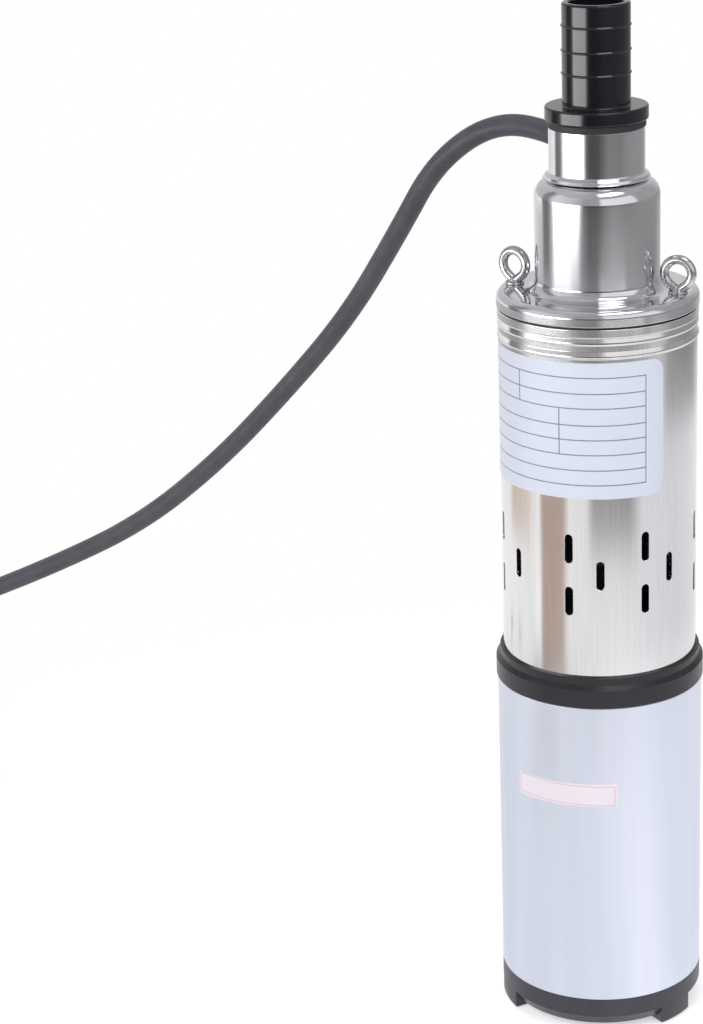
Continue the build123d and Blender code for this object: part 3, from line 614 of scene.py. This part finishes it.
def slot_outline(angle, height, grow):
    """Points of an upright slot with round ends, as (angle, height)."""
    half_width, half_length = (size + grow for size in SLOT_HALF)
    points = []
    for side, start in ((1, 0), (-1, 180)):
        for k in range(SLOT_STEPS + 1):
            turn = math.radians(start + 180 * k / SLOT_STEPS)
            across = half_width * math.cos(turn)
            up = half_width * math.sin(turn) + side * (half_length - half_width)
            points.append((angle + math.degrees(across / SLEEVE_RADIUS), height + up))
    return points


def slot_places():
    """Middles of the slots: angle from +X, within the turn that ends at the seam, and height."""
    low, middle, high = SLOT_HEIGHTS
    places = [(a, low) for a in SLOT_PAIRS] + [(a, high) for a in SLOT_PAIRS]
    places += [(a, middle) for a in SLOT_SINGLES]
    return [((a - 90 - SEAM) % 360 + SEAM - 360, height) for a, height in places]


def in_a_slot(angle, height, grow):
    half_width, half_length = (size + grow for size in SLOT_HALF)
    for middle, level in slot_places():
        across = math.radians(angle - middle) * SLEEVE_RADIUS
        beyond = max(abs(height - level) - (half_length - half_width), 0.0)
        if math.hypot(across, beyond) < half_width:
            return True
    return False


def pierced_sheet(radius, grow, sign):
    """The sleeve's wall as a flat sheet with slots cut out, then rolled round the axis."""
    columns = [SEAM - 360 + 360 * k / SLEEVE_COLUMNS for k in range(SLEEVE_COLUMNS + 1)]
    count = len(SHEET_ROWS)
    flat, edges = [], []
    for column in columns:
        edges += [(len(flat) + k, len(flat) + k + 1) for k in range(count - 1)]
        flat += [Vector((column, row)) for row in SHEET_ROWS]
    for k in range(count):
        edges += [(k + count * c, k + count * (c + 1)) for c in range(len(columns) - 1)]
    for angle, height in slot_places():
        outline = slot_outline(angle, height, grow)
        first = len(flat)
        edges += [(first + k, first + (k + 1) % len(outline)) for k in range(len(outline))]
        flat += [Vector(point) for point in outline]
    points, _, triangles, _, _, _ = delaunay_2d_cdt(flat, edges, [], 0, 1e-5)
    faces, normals = [], []
    for triangle in triangles:
        centre = sum((points[k] for k in triangle), Vector((0, 0))) / 3
        if in_a_slot(centre.x, centre.y, grow):
            continue
        corners = [points[k] for k in triangle][::int(sign)]
        faces.append([wrap(radius, c.x, c.y) for c in corners])
        normals.append([wrap_normal(c.x, sign) for c in corners])
    return faces, normals


def slot_walls():
    """The cut edges of the slots, broken a little on the outer side."""
    levels = ((SLEEVE_RADIUS, SLOT_EDGE), (SLEEVE_RADIUS - SLOT_EDGE, 0.0), (SLEEVE_BORE, 0.0))
    faces, normals = [], []
    for angle, height in slot_places():
        loops = [[wrap(radius, a, z) for a, z in slot_outline(angle, height, grow)]
                 for radius, grow in levels]
        for outer, inner in zip(loops, loops[1:]):
            for k in range(len(outer)):
                n = (k + 1) % len(outer)
                face = [outer[n], outer[k], inner[k], inner[n]]
                across = (Vector(face[1]) - Vector(face[0])).cross(Vector(face[2]) - Vector(face[1]))
                if across.length < 1e-9:
                    continue
                faces.append(face)
                normals.append([tuple(across.normalized())] * 4)
    return faces, normals


def make_sleeve():
    rim = [(SLEEVE_RADIUS, BEAD_FOOT)]
    rim += [(SLEEVE_RADIUS + bulge, SLEEVE_TOP - drop, size) for bulge, drop, size in BEADS]
    rim += [(SLEEVE_BORE, SLEEVE_TOP + 0.3, 0.2), (SLEEVE_BORE, BEAD_FOOT)]
    foot = [(SLEEVE_BORE, SLEEVE_BOTTOM), (SLEEVE_RADIUS, SLEEVE_BOTTOM)]
    surfaces = [pierced_sheet(SLEEVE_RADIUS, SLOT_EDGE, 1), pierced_sheet(SLEEVE_BORE, 0.0, -1),
                slot_walls()]
    spin = Matrix.Rotation(math.radians(SEAM), 3, "Z")
    for corners in (rim, foot):
        faces, normals = turned(corners, closed=False, segments=SLEEVE_COLUMNS)
        surfaces.append(([[tuple(spin @ Vector(c)) for c in face] for face in faces],
                         [[tuple(spin @ Vector(n)) for n in shade] for shade in normals]))
    stand_for(build("sleeve_rolled", surfaces, SLEEVE), "sleeve_steel", "pump_sleeve")


make_sleeve()


# Plates on the sleeve and the motor: angles from the front to the right, heights, line widths.

LABEL = (-104.0, 39.6, 221.0, 272.8)
LABEL_CORNER = 5.0
LABEL_THICKNESS = 0.15
LABEL_SIDES = (-98.0, 28.1)
LABEL_ROWS = (267.2, 261.2, 255.6, 249.2, 243.6, 237.9, 232.0, 226.3)
LABEL_ROW_HALF = 0.22
# Upright lines: left and right edge, and the rows that they join.
LABEL_UPRIGHTS = ((-50.9, -50.1, 2, 0), (-22.9, -22.2, 5, 2), (27.5, 28.1, 7, 0))
STICKER = (-51.0, 9.4, 97.8, 107.1)
STICKER_CORNER = 0.5
STICKER_THICKNESS = 0.1
STICKER_TILT = 0.017
STICKER_INSET = 0.7
STICKER_LINE = (0.35, 0.22)
PLATE_GAP = 0.01
PLATE_STEP = 1.2
CORNER_STEPS = 8


def wrapped_plate(name, material, slot, radius, start, end, low, high, corner, thickness, tilt=0.0):
    """A thin plate bent round the axis. Tilt lifts its right end, in millimetres for each degree."""
    per_degree = math.radians(radius)
    length = (end - start) * per_degree
    quarter = [math.radians(90 * k / CORNER_STEPS) for k in range(CORNER_STEPS + 1)]
    marks = [corner * (1 - math.cos(a)) for a in quarter]
    steps = int(length / PLATE_STEP)
    inner = [corner + (length - 2 * corner) * k / steps for k in range(1, steps)]
    stations = marks + inner + [length - m for m in reversed(marks)]
    columns = []
    for along in stations:
        inset = min(along, length - along, corner)
        cut = corner - math.sqrt(max(0.0, corner ** 2 - (corner - inset) ** 2))
        angle = start + along / per_degree
        lift = tilt * (angle - (start + end) / 2)
        foot, top = low + cut + lift, high - cut + lift
        outer = radius + thickness
        section = ((radius, foot), (outer, foot), (outer, top), (radius, top))
        columns.append([(r, angle - 90, z) for r, z in section])
    faces, normals = [], []
    for left, right in zip(columns, columns[1:]):
        # The section's sides in turn: foot, outer face, top, inner face.
        for k in range(4):
            n = (k + 1) % 4
            corners = (left[k], right[k], right[n], left[n])
            faces.append([wrap(*c) for c in corners])
            if k in (0, 2):
                normals.append([(0, 0, k - 1)] * 4)
            else:
                normals.append([wrap_normal(c[1], 2 - k) for c in corners])
    piece = build(name, [(faces, normals)], material)
    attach(piece, BODY)


def label_lines():
    lines = [(*LABEL_SIDES, z - LABEL_ROW_HALF, z + LABEL_ROW_HALF) for z in LABEL_ROWS]
    return lines + [(a0, a1, LABEL_ROWS[low], LABEL_ROWS[high]) for a0, a1, low, high in LABEL_UPRIGHTS]


def sticker_frame():
    a0, a1, z0, z1 = STICKER
    inset = STICKER_INSET / math.radians(TUBE_RADIUS)
    a0, a1, z0, z1 = a0 + inset, a1 - inset, z0 + STICKER_INSET, z1 - STICKER_INSET
    wide, tall = STICKER_LINE
    return [(a0, a1, z0, z0 + tall), (a0, a1, z1 - tall, z1),
            (a0, a0 + wide, z0, z1), (a1 - wide, a1, z0, z1)]


LABEL_PAPER = ruled("label_plate", (221, 225, 238), (66, 68, 92), label_lines())
STICKER_PAPER = ruled("sticker_plate", (243, 232, 240), (206, 142, 156), sticker_frame())
wrapped_plate("label_plate", LABEL_PAPER, "satin_tube", SLEEVE_RADIUS + PLATE_GAP, *LABEL,
              LABEL_CORNER, LABEL_THICKNESS)
wrapped_plate("sticker_plate", STICKER_PAPER, "satin_tube", TUBE_RADIUS + PLATE_GAP, *STICKER,
              STICKER_CORNER, STICKER_THICKNESS, STICKER_TILT)


# Lifting eyes: radius of the loop, depth and rounding of its lower point, wire, height of the middle.

EYE_LOOP = 5.2
EYE_DROP = 6.6
EYE_TIP = 1.8
EYE_WIRE = 1.75
EYE_RISE = 7.4
LOOP_STEPS = 48
TIP_STEPS = 8


def eye_path():
    """The loop's wire in its own plane: a round that closes to a rounded point below."""
    reach = math.degrees(math.acos(EYE_LOOP / EYE_DROP))
    path = []
    for k in range(LOOP_STEPS + 1):
        a = math.radians(-90 + reach + (360 - 2 * reach) * k / LOOP_STEPS)
        path.append(Vector((EYE_LOOP * math.cos(a), EYE_LOOP * math.sin(a))))
    bend = math.radians(90 - reach)
    centre = Vector((0, -EYE_DROP + EYE_TIP / math.sin(bend)))
    for k in range(TIP_STEPS + 1):
        a = -math.pi / 2 - (math.pi / 2 - bend) * (1 - 2 * k / TIP_STEPS)
        path.append(centre + EYE_TIP * Vector((math.cos(a), math.sin(a))))
    return path


def swept(path, radius, to_world, sides=20):
    """A round wire along a closed flat path."""
    rings = []
    for k, here in enumerate(path):
        along = (path[(k + 1) % len(path)] - path[k - 1]).normalized()
        across = Vector((along.y, -along.x))
        ring = []
        for n in range(sides):
            a = 2 * math.pi * n / sides
            offset = Vector((across.x * math.cos(a), math.sin(a), across.y * math.cos(a)))
            ring.append((to_world @ (Vector((here.x, 0, here.y)) + radius * offset),
                         to_world.to_3x3() @ offset))
        rings.append(ring)
    faces, normals = [], []
    for k in range(len(rings)):
        a, b = rings[k - 1], rings[k]
        for n in range(sides):
            m = (n + 1) % sides
            corners = (a[n], a[m], b[m], b[n])
            faces.append([tuple(c[0]) for c in corners])
            normals.append([tuple(c[1]) for c in corners])
    return faces, normals


def make_eyes():
    for name, node, angle, turn in EYES:
        x, y, z = wrap(EYE_CIRCLE, angle, FLANGE_TOP)
        spin = Matrix.Rotation(math.radians(turn), 4, "Z")
        to_world = Matrix.Translation((x, y, z + EYE_RISE)) @ spin
        collar = [(0, z - 4), (2.4, z - 4), (2.4, z), (3.6, z, 0.2), (3.6, z + 1.0, 0.35),
                  (2.3, z + 1.0, 0.4), (1.9, z + 2.4, 0.4), (0, z + 2.4)]
        surfaces = [swept(eye_path(), EYE_WIRE, to_world), turned(collar, segments=48, middle=(x, y))]
        stand_for(build(name, surfaces, EYE_STEEL), "zinc_steel", node)


make_eyes()


# Stage

def azimuth_ramp(tree, share, stops):
    """Colour by azimuth. Stops are (degrees, grey or colour)."""
    places = [(degrees + 180) / 360 for degrees, _ in stops]
    colours = [colour if isinstance(colour, tuple) else (colour,) * 3 for _, colour in stops]
    return ramp(tree, share, list(zip(places, colours)))


def place_round(tree):
    """Azimuth from the front to the right as 0..1 over a full turn, and distance from the axis."""
    split = tree.nodes.new("ShaderNodeSeparateXYZ")
    tree.links.new(tree.nodes.new("ShaderNodeTexCoord").outputs["Object"], split.inputs[0])
    x, y = split.outputs[0], split.outputs[1]
    share = math_node(tree, "MULTIPLY_ADD", azimuth(tree, x, y), 1 / (2 * math.pi), 0.5)
    return share, axis_reach(tree, x, y)


def ring_mesh(name, inner, outer, steps=96):
    """A band between two (radius, height) circles."""
    verts, faces = [], []
    for k in range(steps):
        a = 2 * math.pi * k / steps
        verts += [(r * math.cos(a), r * math.sin(a), z) for r, z in (inner, outer)]
        n = (k + 1) % steps
        faces.append((2 * k, 2 * n, 2 * n + 1, 2 * k + 1))
    mesh = bpy.data.meshes.new(name)
    mesh.from_pydata(verts, [], faces)
    return mesh


# Painted reflections: what the metal sees round it, as glowing cards that light nothing. Azimuth in
# degrees from the front to the right, and the linear brightness or colour there.
SOFTBOX = 7.0
FLANGE_STOPS = (
    (-180, 0.7), (-150, 0.6), (-92, 0.5), (-86, 1.0), (-52, 1.0), (-44, 0.42), (-2, 0.35), (8, 1.0),
    (48, 1.0), (56, 0.42), (130, 0.37), (150, 0.5), (180, 0.7))
BEAD_STOPS = (
    (-180, 0.8), (-122, 0.35), (-104, 0.3), (-90, 0.7), (-78, 0.9), (-52, 0.65), (-38, 0.55),
    (-22, 0.18), (0, 0.11), (32, 0.17), (54, 0.3), (66, 0.7), (78, 0.6), (92, 0.3), (118, 0.24),
    (140, 0.35), (180, 0.8))
DOME_STOPS = (
    (-180, 1.0), (-160, 0.93), (-136, 0.75), (-118, 0.6), (-112, 0.22), (-100, 0.2), (-90, 0.55),
    (-82, 1.5), (-56, 1.4), (-46, 1.15), (-36, 0.95), (-28, 0.36), (-14, 0.15), (2, 0.17),
    (14, 0.32), (28, 0.42), (52, 0.36), (80, 0.32), (128, 0.31), (146, 0.46), (180, 0.75))
WALL_STOPS = (
    (-180, 0.9), (-150, 0.85), (-119, 1.1), (-114, 0.22), (-100, 0.2), (-93, 0.4), (-86, 1.2),
    (-81, SOFTBOX), (-37, SOFTBOX), (-31, 1.2), (-25, 0.16), (-16, 0.08), (4, 0.09), (12, 0.14),
    (28, 0.26), (56, 0.25), (85, 0.34), (135, 0.35), (155, 0.45), (168, 0.6), (180, 0.8))
HIGH_WALL_STOPS = (
    (-180, 0.7), (-118, 0.6), (-113, 0.3), (-100, 0.3), (-88, 0.8), (-81, 0.85), (-50, 0.7),
    (-31, 0.5), (-24, 0.4), (3, 0.4), (9, 1.0), (72, 0.95), (80, 0.42), (135, 0.4), (180, 0.75))
CEILING_STOPS = ((-180, 0.5), (-90, 0.6), (0, 0.4), (180, 0.5))
CEILING_BOX_STOPS = ((-180, 0.5), (-90, 0.6), (3, 0.4), (8, 4.0), (80, 4.0), (86, 0.4), (180, 0.5))
# The same for the painted reflection of the floor, from near the object outwards. Its stops above 1
# paint highlights on the motor tube, and its brown stops paint a tan band into the metal.
NEAR_STOPS = (
    (-180, (0.88, 0.89, 0.9)), (-84, (0.88, 0.89, 0.9)), (-60, (0.84, 0.85, 0.86)),
    (-30, (0.9, 0.91, 0.92)), (8, (0.98, 0.99, 1.01)), (22, (1.11, 1.11, 1.13)),
    (58, (1.09, 1.09, 1.11)), (76, (0.96, 0.97, 0.99)), (180, (0.9, 0.91, 0.94)))
TUBE_TOP_STOPS = (
    (-180, 0.92), (-86, 0.88), (-78, 0.42), (-60, 0.42), (-44, 0.62), (-24, 0.9), (8, 1.05),
    (24, (1.14, 1.15, 1.17)), (56, (1.17, 1.17, 1.19)), (76, 1.05), (180, 0.98))
FAR_STOPS = (
    (-180, 1.0), (-120, 1.05), (-82, 1.0), (-71, 1.2), (-68, (0.51, 0.39, 0.33)),
    (-42, (0.56, 0.43, 0.35)), (-36, 1.0), (-20, 0.97), (20, 1.0), (60, (0.86, 0.88, 0.92)),
    (100, (0.8, 0.82, 0.86)), (180, 0.95))
PATCH_STOPS = (
    (-180, 1.0), (-125, 1.0), (-117, (0.72, 0.6, 0.54)), (-90, (0.8, 0.67, 0.59)), (-72, 1.1),
    (-69, (0.48, 0.36, 0.3)), (-40, (0.5, 0.38, 0.31)), (-34, 1.0), (-14, 0.95), (-6, 0.36),
    (36, 0.33), (50, 0.85), (60, (0.86, 0.88, 0.92)), (100, (0.82, 0.84, 0.88)), (180, 0.95))
RIM_STOPS = (
    (-180, 0.85), (-124, 0.8), (-120, 0.46), (-95, 0.46), (-90, 0.95), (-36, 0.9), (-26, 0.5),
    (44, 0.5), (52, 0.74), (78, 0.7), (86, 0.38), (138, 0.38), (150, 0.6), (180, 0.85))
CARD_RADIUS = 0.9
CEILING = 1.1
# Glowing cards that only mirror-like surfaces see. They paint reflections and light nothing. Name,
# first and last circle as radius and height in metres, and zones. Each zone after the first fades in
# over a range of distances from the axis.
CARDS = (
    ("wall_card_bead", (CARD_RADIUS, 0.018), (CARD_RADIUS, 0.047), ((0, 0, BEAD_STOPS),)),
    ("wall_card_foot", (CARD_RADIUS, 0.047), (CARD_RADIUS, 0.075), ((0, 0, FLANGE_STOPS),)),
    ("wall_card_low", (CARD_RADIUS, 0.075), (CARD_RADIUS, 0.125), ((0, 0, DOME_STOPS),)),
    ("wall_card", (CARD_RADIUS, 0.125), (CARD_RADIUS, 0.32), ((0, 0, WALL_STOPS),)),
    ("wall_card_high", (CARD_RADIUS, 0.32), (CARD_RADIUS, CEILING), ((0, 0, HIGH_WALL_STOPS),)),
    ("ceiling_card", (CARD_RADIUS, CEILING), (0.01, CEILING),
     ((0, 0, CEILING_STOPS), (0.19, 0.21, CEILING_BOX_STOPS), (0.5, 0.52, CEILING_STOPS))),
    ("floor_reflection_card", (1.6, 0.0006), (0.02, 0.0006),
     ((0, 0, NEAR_STOPS), (0.22, 0.33, TUBE_TOP_STOPS), (0.36, 0.44, FAR_STOPS),
      (0.57, 0.62, PATCH_STOPS), (0.78, 0.88, RIM_STOPS))),
)


def make_card(name, first, last, zones):
    material = bpy.data.materials.new(name)
    tree = blank_tree(material)
    out = tree.nodes.new("ShaderNodeOutputMaterial")
    light = tree.nodes.new("ShaderNodeEmission")
    tree.links.new(light.outputs[0], out.inputs[0])
    share, reach = place_round(tree)
    colour = azimuth_ramp(tree, share, zones[0][2])
    for low, high, stops in zones[1:]:
        colour = mix_colours(tree, fade_in(tree, reach, low, high), colour,
                             azimuth_ramp(tree, share, stops))
    tree.links.new(colour, light.inputs[0])
    card = add_object(name, ring_mesh(name, first, last), material)
    # The card glows but is no lamp. Hidden from camera, diffuse and shadow rays, it only paints
    # reflections.
    card.visible_camera = card.visible_diffuse = False
    card.visible_shadow = card.visible_transmission = False


for card_data in CARDS:
    make_card(*card_data)


FLOOR_HALF = 4.0
FLOOR_PAINT = (0.8, 0.8, 0.8, 1)
FLOOR_GLOW = 0.5
FLOOR_FADE = (0.08, 0.45)
ROOM_COLOUR = (0.93, 0.95, 1.0, 1)
ROOM_LIGHT = 0.5
# Lamps: name, place, power, size.
LAMPS = (("key_lamp", (-1.3, -1.5, 1.7), 26, 1.1), ("fill_lamp", (1.6, -1.1, 1.1), 12, 1.2),
         ("top_lamp", (0.0, 0.5, 2.0), 12, 1.4))
LAMP_TARGET = (0, 0, 0.2)


def make_floor():
    """Painted floor with a soft shadow near the object, that turns into plain white farther out."""
    corners = [(x * FLOOR_HALF, y * FLOOR_HALF, 0) for x, y in ((-1, -1), (1, -1), (1, 1), (-1, 1))]
    mesh = bpy.data.meshes.new("floor")
    mesh.from_pydata(corners, [], [(0, 1, 2, 3)])
    material = bpy.data.materials.new("floor")
    tree = blank_tree(material)
    out = tree.nodes.new("ShaderNodeOutputMaterial")
    paint = tree.nodes.new("ShaderNodeBsdfDiffuse")
    paint.inputs[0].default_value = FLOOR_PAINT
    glow = tree.nodes.new("ShaderNodeEmission")
    glow.inputs[1].default_value = FLOOR_GLOW
    white = tree.nodes.new("ShaderNodeEmission")
    both = tree.nodes.new("ShaderNodeAddShader")
    tree.links.new(paint.outputs[0], both.inputs[0])
    tree.links.new(glow.outputs[0], both.inputs[1])
    fade = fade_in(tree, place_round(tree)[1], *FLOOR_FADE, "SMOOTHSTEP")
    far = mix_shaders(tree, fade, both.outputs[0], white.outputs[0])
    tree.links.new(mix_shaders(tree, any_ray(tree), paint.outputs[0], far), out.inputs[0])
    add_object("floor", mesh, material)


def make_world():
    """Cool room light, and plain white wherever a ray looks straight into it."""
    world = bpy.data.worlds.new("studio")
    tree = blank_tree(world)
    out = tree.nodes.new("ShaderNodeOutputWorld")
    sides = []
    for colour, strength in ((ROOM_COLOUR, ROOM_LIGHT), ((1, 1, 1, 1), 1.0)):
        node = tree.nodes.new("ShaderNodeBackground")
        node.inputs[0].default_value = colour
        node.inputs[1].default_value = strength
        sides.append(node.outputs[0])
    tree.links.new(mix_shaders(tree, any_ray(tree), *sides), out.inputs[0])
    bpy.context.scene.world = world


def make_lamp(name, place, power, size):
    data = bpy.data.lights.new(name, "AREA")
    data.energy = power
    data.size = size
    lamp = bpy.data.objects.new(name, data)
    lamp.location = place
    lamp.rotation_euler = (Vector(LAMP_TARGET) - Vector(place)).to_track_quat("-Z", "Y").to_euler()
    lamp.visible_glossy = False
    bpy.context.collection.objects.link(lamp)


make_floor()
make_world()
for lamp_data in LAMPS:
    make_lamp(*lamp_data)
bpy.context.scene.view_settings.view_transform = "Standard"
